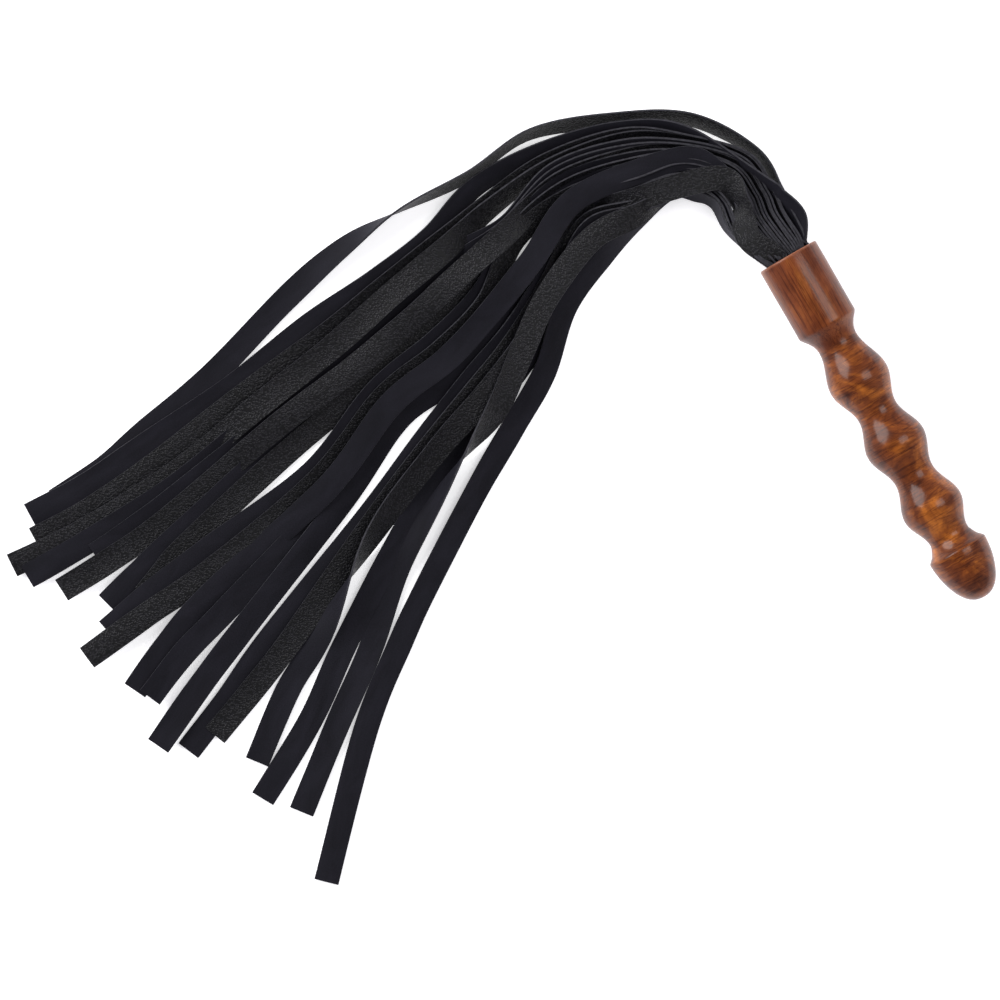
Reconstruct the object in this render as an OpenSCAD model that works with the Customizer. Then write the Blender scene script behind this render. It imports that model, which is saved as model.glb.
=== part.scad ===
// Many-tailed leather flogger with a turned wooden handle.
//
// The handle lies along Y on the table (z = 0), butt at -Y and mouth at +Y.
// Twenty flat leather tails leave the mouth on edge, bend round towards -X
// and roll over until they lie almost flat, each inner tail leaning over the
// next outer one.

/* [Handle] */
// outer diameter of the socket at the mouth
socket_d = 32.8; // [28:0.2:40]
// length of the plain cylinder of the socket
socket_len = 40.6; // [30:0.2:60]
// diameter of the socket's bore, which holds the rolled leather root
bore_d = 26; // [20:0.5:30]
// depth of the socket's bore
bore_depth = 28; // [15:1:36]
// whole length of the handle, mouth to butt
handle_len = 203; // [150:1:260]
// diameter of the beads of the grip
bead_d = 32.6; // [24:0.2:40]
// diameter of the necks between the beads
neck_d = 21.8; // [16:0.2:26]
// diameter of the rim of the acorn-shaped butt
acorn_d = 32.2; // [24:0.2:40]

/* [Grip joint] */
// diameter of the tenon that joins the grip to the socket
tenon_d = 12; // [8:0.5:16]
// length of the tenon
tenon_len = 17; // [8:1:20]
// radial glue gap round the tenon and the leather root
glue_gap = 0.05; // [0.02:0.01:0.2]

/* [Tails] */
// width of one leather tail
tail_w = 12.7; // [8:0.1:20]
// thickness of the leather
tail_t = 1.1; // [0.8:0.1:2]
// air left between tails that lie on each other
tail_gap = 0.25; // [0.1:0.05:0.6]
// half of the angle that the bundle can swing through at the mouth
swing = 25; // [10:1:30]

/* [Node] */
// which node to draw

/* [Hidden] */
$fn = 96;

wood_dark = [0.45, 0.13, 0.06];
wood_light = [0.72, 0.30, 0.12];
leather_black = [0.09, 0.085, 0.10];

// --- handle, measured as a distance s from the mouth along the axis ---
mouth_y = handle_len / 2;
axis_z = socket_d / 2;
neck_r = neck_d / 2;
bead_r = bead_d / 2;
first_neck = 51.5;
bead_pitch = 38;
first_bead = 73.5;
last_neck = 166.5;
rim_s = 175.5;

// the shoulder from the socket's cylinder down to the first neck
shoulder = [[socket_d / 2, socket_len], [15.9, 41.6], [14.5, 43.4],
            [12.9, 45.6], [11.7, 47.8], [11.1, 49.7], [neck_r, first_neck]];

// a smooth swell between two radii over the stretch s0 to s1
function swell(r0, r1, s0, s1, steps) =
    [for (i = [1 : steps])
        [(r0 + r1) / 2 + (r0 - r1) / 2 * cos(180 * i / steps),
         s0 + (s1 - s0) * i / steps]];

// three beads with a neck after each, then the acorn butt
beads = [for (k = [0 : 2], half = [0 : 1])
    let (crest = first_bead + k * bead_pitch,
         before = k == 0 ? first_neck : crest - bead_pitch / 2,
         after = k == 2 ? last_neck : crest + bead_pitch / 2)
    each (half == 0 ? swell(neck_r, bead_r, before, crest, 9)
                    : swell(bead_r, neck_r, crest, after, 9))];

// the nose of the acorn is a quarter of a superellipse
acorn = concat(
    [[neck_r + 0.7, last_neck + 2.4], [13.4, rim_s - 3.2],
     [acorn_d / 2 - 0.4, rim_s - 0.9], [acorn_d / 2, rim_s]],
    [for (a = [9 : 9 : 81])
        [acorn_d / 2 * pow(cos(a), 0.86),
         rim_s + (handle_len - rim_s) * pow(sin(a), 1.12)]]);

// --- the tails ---
tails = 20;

// Points across the bundle: the first tail, the second, the last but one
// and the last. The tails between them are evenly spaced.
gates = [
    [[-20, 129], [-18, 128], [11, 122], [13, 122]],
    [[-19, 144], [-17, 143], [12, 135], [14, 134]],
    [[-24, 152], [-22, 153], [10, 157], [13, 157]],
    [[-37, 157], [-36, 159], [-11, 181], [-7, 189]],
    [[-57, 155], [-56, 159], [-41, 201], [-40, 207]],
    [[-81, 148], [-85, 156], [-77, 211], [-83, 226]],
    [[-110, 132], [-114, 138], [-121, 210], [-123, 224]],
    [[-138, 113], [-140, 120], [-154, 203], [-163, 223]],
    [[-167, 96], [-171, 106], [-189, 198], [-197, 221]]];

// The free ends of the routes, from the innermost tail to the outermost.
ends = [
    [[-200, 77], [-247, 47], [-274, 28], [-312, -2], [-369, -60]],
    [[-204, 92], [-252, 65], [-289, 33], [-323, 8], [-362, -22]],
    [[-206, 99], [-254, 71], [-299, 42], [-334, 17], [-376, -6]],
    [[-208, 105], [-257, 84], [-310, 51], [-337, 36], [-369, 12]],
    [[-209, 109], [-258, 88], [-322, 58], [-354, 45], [-381, 35]],
    [[-210, 113], [-259, 92], [-329, 65], [-366, 48], [-397, 35]],
    [[-214, 130], [-263, 107], [-344, 74], [-377, 60], [-409, 45]],
    [[-215, 134], [-265, 112], [-345, 88], [-373, 80], [-400, 69]],
    [[-216, 138], [-266, 117], [-344, 100], [-379, 88], [-405, 76]],
    [[-218, 143], [-268, 123], [-340, 110], [-378, 107], [-418, 103]],
    [[-219, 148], [-269, 128], [-338, 120], [-370, 116], [-402, 110]],
    [[-220, 153], [-273, 144], [-343, 128], [-361, 122], [-376, 116]],
    [[-222, 158], [-275, 150], [-347, 134], [-372, 128], [-395, 122]],
    [[-223, 164], [-277, 157], [-348, 144], [-383, 141], [-412, 140]],
    [[-225, 169], [-278, 161], [-339, 152], [-364, 149], [-388, 147]],
    [[-226, 174], [-279, 166], [-336, 157], [-389, 155], [-424, 155]],
    [[-227, 179], [-280, 171], [-331, 163], [-389, 161], [-428, 164]],
    [[-229, 186], [-283, 180], [-332, 173], [-377, 169], [-411, 170]],
    [[-231, 195], [-285, 187], [-333, 184], [-372, 181], [-407, 182]],
    [[-236, 213], [-288, 198], [-332, 190], [-362, 184], [-392, 182]]];

// How far a tail is rolled up from lying flat at each point of its route,
// outer edge up. The outermost tail turns right over on its way.
rolls = [90, 83, 76, 70, 66, 56, 44, 34, 27, 21, 17, 14, 11, 9, 6];
rolls_last = [90, 83, 76, 72, 68, 62, 62, 70, 92, 150, 174, 180, 180, 180, 180];

// How high the middle of a tail hangs before it comes down to the table.
hang = [axis_z, 12.5, 8];

// the start of tail i, just clear of the mouth through the whole swing
start_pitch = 1.35;
function start(i) =
    let (x = (i - (tails - 1) / 2) * start_pitch)
    [x, mouth_y + 1.2 + tan(swing + 1) * abs(x)];

// At some gates the tails gather in clumps with gaps between them: the
// number of the gate, then [tail, distance from the gate's first point].
clumps = [
    [3, [[0, 4], [17, 33], [18, 35.5], [19, 43]]],
    [5, [[0, 1], [1, 8], [2, 17.5], [17, 58], [18, 64.5], [19, 75.5]]],
    [6, [[0, 5], [8, 34.5], [9, 48.5], [15, 56.5], [16, 69], [17, 71],
         [18, 82.5], [19, 89.5]]],
];

function gate_point(j, i) =
    let (g = gates[j], c = [for (q = clumps) if (q[0] == j) q[1]])
    len(c) > 0 ? g[0] + unit(g[3] - g[0]) * lookup(i, c[0])
    : i == 0 ? g[0] : i == tails - 1 ? g[3]
    : g[1] + (g[2] - g[1]) * (i - 1) / (tails - 3);

// the fifteen points of every route, seen from above
routes = [for (i = [0 : tails - 1])
    concat([start(i)], [for (j = [0 : len(gates) - 1]) gate_point(j, i)], ends[i])];
points = len(rolls);

function unit(v) = v / norm(v);
function roll(i, k) = i == tails - 1 ? rolls_last[k] : rolls[k];
function heading(i, k) =
    unit(routes[i][min(k + 1, points - 1)] - routes[i][max(k - 1, 0)]);

// the distance from tail i to the next outer one, across the tail
function pitch(i, k) =
    let (h = heading(i, k), d = routes[i + 1][k] - routes[i][k])
    abs(d[0] * h[1] - d[1] * h[0]);

// how much higher tail i must lie than the next outer one at point k
function step_up(i, k) =
    let (r = rolls[k], p = pitch(i, k))
    k < 4 || p > tail_w * cos(r) + 1 ? -tail_w
    : (tail_t + tail_gap) / cos(r) - p * tan(r);

// near the ends the tails run past each other, so the largest step counts
function step_at(i, k) =
    k < 12 ? step_up(i, k) : max([for (j = [12 : points - 1]) step_up(i, j)]);

// the lift of every tail at point k, worked inwards from the outermost
function lifts_in(k) =
    [for (i = tails - 1, l = 0; i >= 0;
          i = i - 1, l = i < 0 ? 0 : max(0, l + step_at(i, k))) l];
lifts = [for (k = [0 : points - 1])
    let (l = lifts_in(k)) [for (i = [0 : tails - 1]) l[tails - 1 - i]]];

// a smooth curve through four values, at t of the way from b to c
function smooth(a, b, c, d, t) =
    b + (c - a) * t / 2 + (2 * a - 5 * b + 4 * c - d) * t * t / 2
    + (3 * b - a - 3 * c + d) * t * t * t / 2;

// place, lift, roll and hang of tail i at each point of its route
function state(i, k) =
    let (j = max(0, min(points - 1, k)))
    [routes[i][j][0], routes[i][j][1] - (k < 0 ? 22 : 0),
     lifts[j][i], roll(i, j), j < len(hang) ? hang[j] : 0];

ring_steps = 3;
function along(i, u) =
    let (k = min(points - 2, floor(u)),
         s = smooth(state(i, k - 1), state(i, k), state(i, k + 1),
                    state(i, k + 2), u - k),
         rest = abs(sin(s[3])) * tail_w / 2 + abs(cos(s[3])) * tail_t / 2)
    [s[0], s[1], max(rest + max(0, s[2]), s[4]), s[3]];

rings = [for (j = [0 : (points - 1) * ring_steps]) j / ring_steps];

// the four corners of the section of tail i at u
function ring(i, u) =
    let (p = along(i, u),
         a = along(i, max(0, u - 0.05)), b = along(i, min(points - 1, u + 0.05)),
         h = unit([b[0] - a[0], b[1] - a[1], 0]),
         out = [h[1], -h[0], 0],
         across = out * cos(p[3]) + [0, 0, sin(p[3])],
         through = [0, 0, cos(p[3])] - out * sin(p[3]),
         mid = [p[0], p[1], p[2]])
    [for (q = [[-1, -1], [1, -1], [1, 1], [-1, 1]])
        mid + across * q[0] * tail_w / 2 + through * q[1] * tail_t / 2];

// A flat strap of leather: one rectangular section swept along its route.
module tail(i) {
    corners = [for (u = rings) each ring(i, u)];
    last = 4 * (len(rings) - 1);
    sides = [for (r = [0 : len(rings) - 2], c = [0 : 3])
        let (a = 4 * r + c, b = 4 * r + (c + 1) % 4)
        each [[a, b, b + 4], [a, b + 4, a + 4]]];
    caps = [[0, 2, 1], [0, 3, 2],
            [last, last + 1, last + 2], [last, last + 2, last + 3]];
    color(leather_black) polyhedron(corners, concat(sides, caps));
}

// Puts a shape turned about Z on the handle's axis, mouth first.
module on_axis()
    translate([0, mouth_y, axis_z]) rotate([90, 0, 0]) children();

// The turned cup that the leather is glued into, with its shoulder.
module socket() color(wood_light) on_axis() difference() {
    rotate_extrude() polygon(concat(
        [[0, 0], [socket_d / 2 - 0.5, 0], [socket_d / 2, 0.5]],
        shoulder, [[0, first_neck]]));
    translate([0, 0, -1]) cylinder(h = bore_depth + 1, d = bore_d);
    translate([0, 0, first_neck - tenon_len - 1])
        cylinder(h = tenon_len + 2, d = tenon_d);
}

// The beaded grip with its acorn butt and the tenon that joins the socket.
module grip() color(wood_dark) on_axis() {
    rotate_extrude() polygon(concat(
        [[0, first_neck], [neck_r, first_neck]], beads, acorn,
        [[0, handle_len]]));
    translate([0, 0, first_neck - tenon_len])
        cylinder(h = tenon_len + 0.5, d = tenon_d - 2 * glue_gap);
}

// The uncut end of the hide, rolled up and glued into the socket.
module root_roll() color(leather_black) on_axis()
    translate([0, 0, 1])
        cylinder(h = bore_depth - 1.1, d = bore_d - 2 * glue_gap);

module tail_01() tail(0);
module tail_02() tail(1);
module tail_03() tail(2);
module tail_04() tail(3);
module tail_05() tail(4);
module tail_06() tail(5);
module tail_07() tail(6);
module tail_08() tail(7);
module tail_09() tail(8);
module tail_10() tail(9);
module tail_11() tail(10);
module tail_12() tail(11);
module tail_13() tail(12);
module tail_14() tail(13);
module tail_15() tail(14);
module tail_16() tail(15);
module tail_17() tail(16);
module tail_18() tail(17);
module tail_19() tail(18);
module tail_20() tail(19);

socket();
grip();
root_roll();
tail_01();
tail_02();
tail_03();
tail_04();
tail_05();
tail_06();
tail_07();
tail_08();
tail_09();
tail_10();
tail_11();
tail_12();
tail_13();
tail_14();
tail_15();
tail_16();
tail_17();
tail_18();
tail_19();
tail_20();
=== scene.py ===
"""The looks of a many-tailed leather flogger with a turned wooden handle.

The handle lies along Y with its mouth at +Y. Twenty flat tails leave the
mouth on edge, bend round towards -X and roll over until they lie almost
flat on the table. Everything is in metres, in the frame of the CAD part.
"""

import logging
import math
import random
from dataclasses import dataclass, field
from enum import Enum
from typing import Dict, List, Optional, Sequence, Tuple, Union

import bpy
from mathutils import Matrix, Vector


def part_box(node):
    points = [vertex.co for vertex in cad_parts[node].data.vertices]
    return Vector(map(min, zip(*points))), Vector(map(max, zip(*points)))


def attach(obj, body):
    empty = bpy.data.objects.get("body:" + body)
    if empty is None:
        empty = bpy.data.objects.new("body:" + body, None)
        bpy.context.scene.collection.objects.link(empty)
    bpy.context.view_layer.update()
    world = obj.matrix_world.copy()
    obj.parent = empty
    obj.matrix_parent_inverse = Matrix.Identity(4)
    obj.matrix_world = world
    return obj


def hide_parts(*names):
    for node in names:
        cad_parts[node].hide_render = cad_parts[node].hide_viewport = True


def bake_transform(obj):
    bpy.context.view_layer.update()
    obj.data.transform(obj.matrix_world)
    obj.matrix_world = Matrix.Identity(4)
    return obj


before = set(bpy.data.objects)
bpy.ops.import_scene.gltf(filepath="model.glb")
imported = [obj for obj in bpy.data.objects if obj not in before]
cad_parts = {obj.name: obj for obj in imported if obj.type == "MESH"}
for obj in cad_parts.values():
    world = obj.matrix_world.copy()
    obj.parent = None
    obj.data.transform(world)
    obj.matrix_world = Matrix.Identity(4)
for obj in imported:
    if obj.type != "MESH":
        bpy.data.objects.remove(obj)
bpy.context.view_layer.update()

logging.basicConfig(level=logging.INFO, format="%(message)s")
LOG = logging.getLogger("flogger")

Point2 = Tuple[float, float]
Point3 = Tuple[float, float, float]
Colour = Tuple[float, float, float, float]
Piece = bpy.types.Object
Material = bpy.types.Material
Socket = bpy.types.NodeSocket
Value = Union[float, Socket]
Paint = Union[Colour, Socket]

# The middle of the socket's mouth and the handle's size, from the CAD solids.
SOCKET_LOW, SOCKET_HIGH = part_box("socket")
GRIP_LOW, GRIP_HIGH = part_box("grip")
SOCKET_RADIUS = round((SOCKET_HIGH.x - SOCKET_LOW.x) / 2, 4)
HANDLE_LENGTH = round(SOCKET_HIGH.y - GRIP_LOW.y, 4)
MOUTH = (0.0, round(SOCKET_HIGH.y, 4),
         round((SOCKET_HIGH.z + SOCKET_LOW.z) / 2, 4))

# Points across the bundle: the first tail, the second, the last but one and
# the last. The tails between them are evenly spaced.
GATES: Tuple[Tuple[Point2, ...], ...] = (
    ((-0.020, 0.129), (-0.018, 0.128), (0.011, 0.122), (0.013, 0.122)),
    ((-0.019, 0.144), (-0.017, 0.143), (0.012, 0.135), (0.014, 0.134)),
    ((-0.024, 0.152), (-0.022, 0.153), (0.010, 0.157), (0.013, 0.157)),
    ((-0.037, 0.157), (-0.036, 0.159), (-0.011, 0.181), (-0.007, 0.189)),
    ((-0.057, 0.155), (-0.056, 0.159), (-0.041, 0.201), (-0.040, 0.207)),
    ((-0.081, 0.148), (-0.085, 0.156), (-0.077, 0.211), (-0.083, 0.226)),
    ((-0.110, 0.132), (-0.114, 0.138), (-0.121, 0.210), (-0.123, 0.224)),
    ((-0.138, 0.113), (-0.140, 0.120), (-0.154, 0.203), (-0.163, 0.223)),
    ((-0.167, 0.096), (-0.171, 0.106), (-0.189, 0.198), (-0.197, 0.221)),
)
ENDS: Tuple[Tuple[Point2, ...], ...] = (
    ((-0.200, 0.077), (-0.247, 0.047), (-0.274, 0.028),
     (-0.312, -0.002), (-0.369, -0.060)),
    ((-0.204, 0.092), (-0.252, 0.065), (-0.289, 0.033),
     (-0.323, 0.008), (-0.362, -0.022)),
    ((-0.206, 0.099), (-0.254, 0.071), (-0.299, 0.042),
     (-0.334, 0.017), (-0.376, -0.006)),
    ((-0.208, 0.105), (-0.257, 0.084), (-0.310, 0.051),
     (-0.337, 0.036), (-0.369, 0.012)),
    ((-0.209, 0.109), (-0.258, 0.088), (-0.322, 0.058),
     (-0.354, 0.045), (-0.381, 0.035)),
    ((-0.210, 0.113), (-0.259, 0.092), (-0.329, 0.065),
     (-0.366, 0.048), (-0.397, 0.035)),
    ((-0.214, 0.130), (-0.263, 0.107), (-0.344, 0.074),
     (-0.377, 0.060), (-0.409, 0.045)),
    ((-0.215, 0.134), (-0.265, 0.112), (-0.345, 0.088),
     (-0.373, 0.080), (-0.400, 0.069)),
    ((-0.216, 0.138), (-0.266, 0.117), (-0.344, 0.100),
     (-0.379, 0.088), (-0.405, 0.076)),
    ((-0.218, 0.143), (-0.268, 0.123), (-0.340, 0.110),
     (-0.378, 0.107), (-0.418, 0.103)),
    ((-0.219, 0.148), (-0.269, 0.128), (-0.338, 0.120),
     (-0.370, 0.116), (-0.402, 0.110)),
    ((-0.220, 0.153), (-0.273, 0.144), (-0.343, 0.128),
     (-0.361, 0.122), (-0.376, 0.116)),
    ((-0.222, 0.158), (-0.275, 0.150), (-0.347, 0.134),
     (-0.372, 0.128), (-0.395, 0.122)),
    ((-0.223, 0.164), (-0.277, 0.157), (-0.348, 0.144),
     (-0.383, 0.141), (-0.412, 0.140)),
    ((-0.225, 0.169), (-0.278, 0.161), (-0.339, 0.152),
     (-0.364, 0.149), (-0.388, 0.147)),
    ((-0.226, 0.174), (-0.279, 0.166), (-0.336, 0.157),
     (-0.389, 0.155), (-0.424, 0.155)),
    ((-0.227, 0.179), (-0.280, 0.171), (-0.331, 0.163),
     (-0.389, 0.161), (-0.428, 0.164)),
    ((-0.229, 0.186), (-0.283, 0.180), (-0.332, 0.173),
     (-0.377, 0.169), (-0.411, 0.170)),
    ((-0.231, 0.195), (-0.285, 0.187), (-0.333, 0.184),
     (-0.372, 0.181), (-0.407, 0.182)),
    ((-0.236, 0.213), (-0.288, 0.198), (-0.332, 0.190),
     (-0.362, 0.184), (-0.392, 0.182)),
)

# Where the tails gather in clumps: the number of the gate, then the distance
# of some tails from the gate's first point. The others lie between them.
CLUMPS: Dict[int, Tuple[Point2, ...]] = {
    3: ((0, 0.004), (17, 0.033), (18, 0.0355), (19, 0.043)),
    5: ((0, 0.001), (1, 0.008), (2, 0.0175), (17, 0.058), (18, 0.0645),
        (19, 0.0755)),
    6: ((0, 0.005), (8, 0.0345), (9, 0.0485), (15, 0.0565), (16, 0.069),
        (17, 0.071), (18, 0.0825), (19, 0.0895)),
}

# Where tails leave the even fan: by tail and by point of its route, the place.
MOVED: Dict[int, Dict[int, Point2]] = {
    0: {0: (-0.0150, 0.1100)},
    1: {0: (-0.0146, 0.1095), 6: (-0.0830, 0.1600), 7: (-0.1180, 0.1455),
        8: (-0.1435, 0.1275), 9: (-0.1700, 0.1080)},
    2: {0: (-0.0132, 0.1090)},
    4: {0: (-0.0066, 0.1045), 1: (-0.0130, 0.1185), 2: (-0.0102, 0.1295),
        3: (-0.0068, 0.1385), 4: (-0.0110, 0.1545)},
    8: {4: (-0.0180, 0.1705), 5: (-0.0440, 0.1780)},
    18: {0: (0.0078, 0.1040), 1: (0.0146, 0.1165), 2: (0.0116, 0.1310),
         3: (0.0092, 0.1400)},
}

# Tails that lie over the bundle instead of leaning in it: by tail and by point
# of its route, the roll in degrees and the height of the middle.
LYING: Dict[int, Dict[int, Point2]] = {
    1: {5: (24, 0.0145), 6: (8, 0.0138), 7: (4, 0.0130), 8: (12, 0.0122),
        9: (20, 0.0110), 10: (96, 0.0080), 11: (170, 0.0),
        12: (176, 0.0), 13: (180, 0.0), 14: (180, 0.0)},
    3: {8: (14, 0.0090), 9: (3, 0.0092), 10: (16, 0.0085), 11: (52, 0.0068),
        12: (168, 0.0), 13: (178, 0.0), 14: (180, 0.0)},
    4: {0: (14, 0.0222), 1: (2, 0.0222), 2: (18, 0.0190), 3: (48, 0.0180),
        4: (5, 0.0170), 5: (22, 0.0140)},
    8: {3: (30, 0.0125), 4: (12, 0.0135), 5: (10, 0.0135), 6: (12, 0.0125),
        7: (4, 0.0132), 8: (8, 0.0105), 9: (2, 0.0090), 10: (6, 0.0080),
        11: (5, 0.0075)},
    13: {7: (16, 0.0134), 8: (2, 0.0105), 9: (17, 0.0092), 10: (4, 0.0080),
         11: (10, 0.0072)},
    16: {8: (14, 0.0092), 9: (3, 0.0085), 10: (12, 0.0078), 11: (5, 0.0066)},
    18: {0: (56, 0.0180), 1: (54, 0.0200), 2: (58, 0.0170), 3: (66, 0.0140)},
}

# How far a tail is rolled up from lying flat at each point of its route, in
# degrees, outer edge up. The outermost tail turns right over on its way.
ROLLS: Tuple[float, ...] = (
    90, 83, 76, 70, 66, 56, 44, 34, 27, 21, 17, 14, 11, 9, 6)
ROLLS_LAST: Tuple[float, ...] = (
    90, 83, 76, 72, 68, 62, 62, 70, 92, 150, 174, 180, 180, 180, 180)

# The values at each step of a tail's way.
PLACE_X, PLACE_Y, LIFT, ROLL, HEIGHT = range(5)

# The material slots of a piece of leather.
UPPER, LOWER, EDGE = range(3)

# The numbers of a Mix node's colour sockets.
MIX_FACTOR, MIX_FIRST, MIX_SECOND, MIX_RESULT = 0, 6, 7, 2


class Face(Enum):
    """Which side of the leather looks up where a tail lies flat."""

    GRAIN = "grain"
    SUEDE = "suede"


def rgba(red: float, green: float, blue: float) -> Colour:
    """Returns an opaque colour."""
    return (red, green, blue, 1.0)


WHITE = rgba(1.0, 1.0, 1.0)


def mix(a: float, b: float, t: float) -> float:
    """Returns the value at t of the way from a to b."""
    return a + (b - a) * t


def between(table: Sequence[Point2], key: float) -> float:
    """Reads a table, with straight lines between its rows.

    Args:
        table: Pairs of a rising key and a value.
        key: The key to look up.

    Returns:
        The value at the key.
    """
    for (k0, v0), (k1, v1) in zip(table, table[1:]):
        if key <= k1:
            return mix(v0, v1, (key - k0) / (k1 - k0))
    return table[-1][1]


def smooth(a: float, b: float, c: float, d: float, t: float) -> float:
    """Returns a smooth curve through four values.

    Args:
        a: The value before the stretch.
        b: The value at its start.
        c: The value at its end.
        d: The value after it.
        t: How far along the stretch, from 0 to 1.

    Returns:
        The value of the curve at t.
    """
    return (b + (c - a) * t / 2 + (2 * a - 5 * b + 4 * c - d) * t * t / 2
            + (3 * b - a - 3 * c + d) * t * t * t / 2)


# ---- nodes


class Shade:
    """A builder of node materials that starts from a Principled shader."""

    def __init__(self, name: str) -> None:
        """Makes the material and finds its shader.

        Args:
            name: The material's name.
        """
        self.material = bpy.data.materials.new(name)
        self.material.use_nodes = True
        self.tree = self.material.node_tree
        self.shader = self.tree.nodes["Principled BSDF"]

    def node(self, kind: str, **values: object) -> bpy.types.Node:
        """Adds a node and sets its properties.

        Args:
            kind: The node's type name.
            **values: Property names and their values.

        Returns:
            The new node.
        """
        made = self.tree.nodes.new(kind)
        for name, value in values.items():
            setattr(made, name, value)
        return made

    def link(self, source: Socket, target: Socket) -> None:
        """Joins two sockets."""
        self.tree.links.new(source, target)

    def set(self, **values: object) -> None:
        """Sets sockets of the shader, with _ for a space in their names."""
        for name, value in values.items():
            self.shader.inputs[name.replace("_", " ")].default_value = value

    def place(self, space: str, scale: Sequence[float]) -> Socket:
        """Gives the coordinates of a surface, stretched.

        Args:
            space: Object or UV.
            scale: The factor on each axis.

        Returns:
            The socket that carries the coordinates.
        """
        where = self.node("ShaderNodeTexCoord")
        mapping = self.node("ShaderNodeMapping")
        mapping.inputs["Scale"].default_value = scale
        self.link(where.outputs[space], mapping.inputs["Vector"])
        return mapping.outputs["Vector"]

    def noise(self, vector: Socket, scale: float, detail: float = 4.0,
              rough: float = 0.55, twist: float = 0.0) -> Socket:
        """Gives a noise value.

        Args:
            vector: The coordinates to read.
            scale: The number of features in a metre.
            detail: The number of octaves.
            rough: How strong the fine octaves are.
            twist: The distortion.

        Returns:
            The socket of the value.
        """
        made = self.node("ShaderNodeTexNoise")
        made.inputs["Scale"].default_value = scale
        made.inputs["Detail"].default_value = detail
        made.inputs["Roughness"].default_value = rough
        made.inputs["Distortion"].default_value = twist
        self.link(vector, made.inputs["Vector"])
        return made.outputs["Fac"]

    def ramp(self, value: Socket,
             *stops: Tuple[float, Colour]) -> Socket:
        """Turns a value into a colour.

        Args:
            value: The value to read.
            *stops: Places from 0 to 1, each with its colour.

        Returns:
            The socket of the colour.
        """
        made = self.node("ShaderNodeValToRGB")
        parts = made.color_ramp.elements
        while len(parts) < len(stops):
            parts.new(0.5)
        for part, (place, colour) in zip(parts, stops):
            part.position = place
            part.color = colour
        self.link(value, made.inputs["Fac"])
        return made.outputs["Color"]

    def math(self, how: str, a: Value, b: Value,
             clamp: bool = False) -> Socket:
        """Works out a sum.

        Args:
            how: The kind of sum, such as ADD or MULTIPLY.
            a: The first number or socket.
            b: The second number or socket.
            clamp: Whether the result is kept from 0 to 1.

        Returns:
            The socket of the result.
        """
        made = self.node("ShaderNodeMath", operation=how, use_clamp=clamp)
        for slot, value in zip(made.inputs, (a, b)):
            if isinstance(value, (int, float)):
                slot.default_value = value
            else:
                self.link(value, slot)
        return made.outputs[0]

    def blend(self, how: str, amount: Value, a: Paint, b: Paint) -> Socket:
        """Mixes two colours.

        Args:
            how: The way of mixing, such as MIX or MULTIPLY.
            amount: A number or a socket from 0 to 1.
            a: The first colour or socket.
            b: The second colour or socket.

        Returns:
            The socket of the mixed colour.
        """
        made = self.node("ShaderNodeMix", data_type="RGBA", blend_type=how)
        for number, value in ((MIX_FACTOR, amount), (MIX_FIRST, a),
                              (MIX_SECOND, b)):
            if isinstance(value, (int, float, tuple)):
                made.inputs[number].default_value = value
            else:
                self.link(value, made.inputs[number])
        return made.outputs[MIX_RESULT]

    def stain(self, base: Paint, amount: float, pattern: Socket,
              *stops: Tuple[float, Colour]) -> Socket:
        """Darkens or tints a colour where a pattern says so.

        Args:
            base: The colour below.
            amount: How strongly, from 0 to 1.
            pattern: The value that the stain follows.
            *stops: Places from 0 to 1, each with the colour to multiply by.

        Returns:
            The socket of the stained colour.
        """
        return self.blend("MULTIPLY", amount, base,
                          self.ramp(pattern, *stops))

    def bump(self, height: Socket, depth: float,
             under: Optional[Socket] = None) -> Socket:
        """Turns a height into a normal.

        Args:
            height: The height, from 0 to 1.
            depth: How deep it is, in metres.
            under: The normal of a coarser bump below this one.

        Returns:
            The socket of the normal.
        """
        made = self.node("ShaderNodeBump")
        made.inputs["Strength"].default_value = 1.0
        made.inputs["Distance"].default_value = depth
        self.link(height, made.inputs["Height"])
        if under is not None:
            self.link(under, made.inputs["Normal"])
        return made.outputs["Normal"]

    def finish(self, colour: Socket, rough: Value,
               normal: Socket) -> Material:
        """Joins the last sockets to the shader.

        Args:
            colour: The base colour.
            rough: The roughness.
            normal: The normal.

        Returns:
            The material.
        """
        self.link(colour, self.shader.inputs["Base Color"])
        if isinstance(rough, (int, float)):
            self.shader.inputs["Roughness"].default_value = rough
        else:
            self.link(rough, self.shader.inputs["Roughness"])
        self.link(normal, self.shader.inputs["Normal"])
        return self.material


# ---- finishes


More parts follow.
